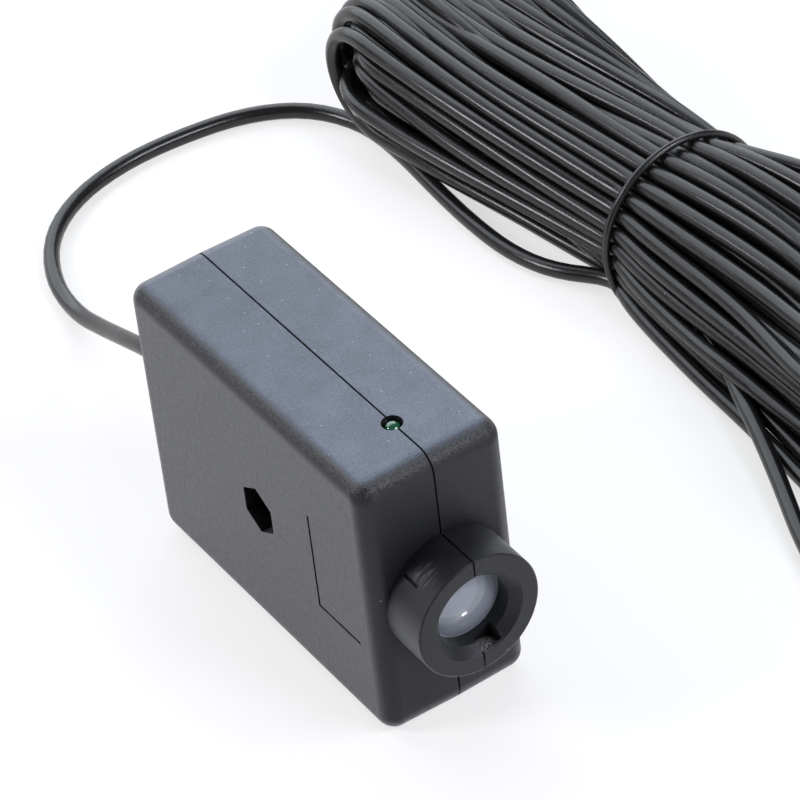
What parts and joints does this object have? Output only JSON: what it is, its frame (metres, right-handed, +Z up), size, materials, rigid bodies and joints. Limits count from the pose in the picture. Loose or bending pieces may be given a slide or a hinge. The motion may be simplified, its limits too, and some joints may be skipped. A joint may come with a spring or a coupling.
{
  "type": "garage door safety sensor",
  "caption": "Black box-shaped light beam sensor with a lens barrel, an indicator lamp and a bracket bolt hole, wired to a long thin cord tied in a hank.",
  "frame": {"origin": "on the base plane under the middle of the housing with its lens barrel", "axes": "the lens looks along -Y, the cord leaves along +Y, +X is the bracket side, +Z is up"},
  "size_m": [0.1415, 0.1965, 0.052],
  "materials": {
    "shell_black": "fine sandblasted satin black",
    "lens_clear": "clear moulded lens",
    "seal_rubber": "matt",
    "lamp_green": "tinted, glossy",
    "tinned_wire": "tinned",
    "detector_dark": "dark, glossy",
    "shield_tin": "tinplate",
    "board_green": "solder resist",
    "screw_steel": "zinc plated",
    "chip_black": "moulded",
    "capacitor_blue": "sleeved",
    "ceramic_tan": "dipped",
    "resistor_beige": "lacquered",
    "diode_black": "moulded",
    "cord_black": "satin sheath",
    "tie_black": "coated wire",
    "core_white": "insulation",
    "bare_copper": "bare copper strand"
  },
  "bodies": {
    "root": {"left_shell": "shell_black", "right_shell": "shell_black", "lens": "lens_clear", "lens_seal": "seal_rubber", "indicator_lamp": "lamp_green", "lamp_leads": "tinned_wire", "detector": "detector_dark", "detector_hood": "shield_tin", "detector_leads": "tinned_wire", "circuit_board": "board_green", "board_screws": "screw_steel", "shell_screws": "screw_steel", "amplifier_chip": "chip_black", "chip_legs": "tinned_wire", "smoothing_capacitor": "capacitor_blue", "ceramic_capacitors": "ceramic_tan", "resistors": "resistor_beige", "protection_diodes": "diode_black", "output_transistor": "chip_black", "cord_end": "cord_black", "free_cord": "cord_black", "cord_hank": "cord_black", "hank_tie": "tie_black", "inner_cores": "core_white", "core_tails": "core_white", "core_tips": "bare_copper"}
  },
  "joints": []
}
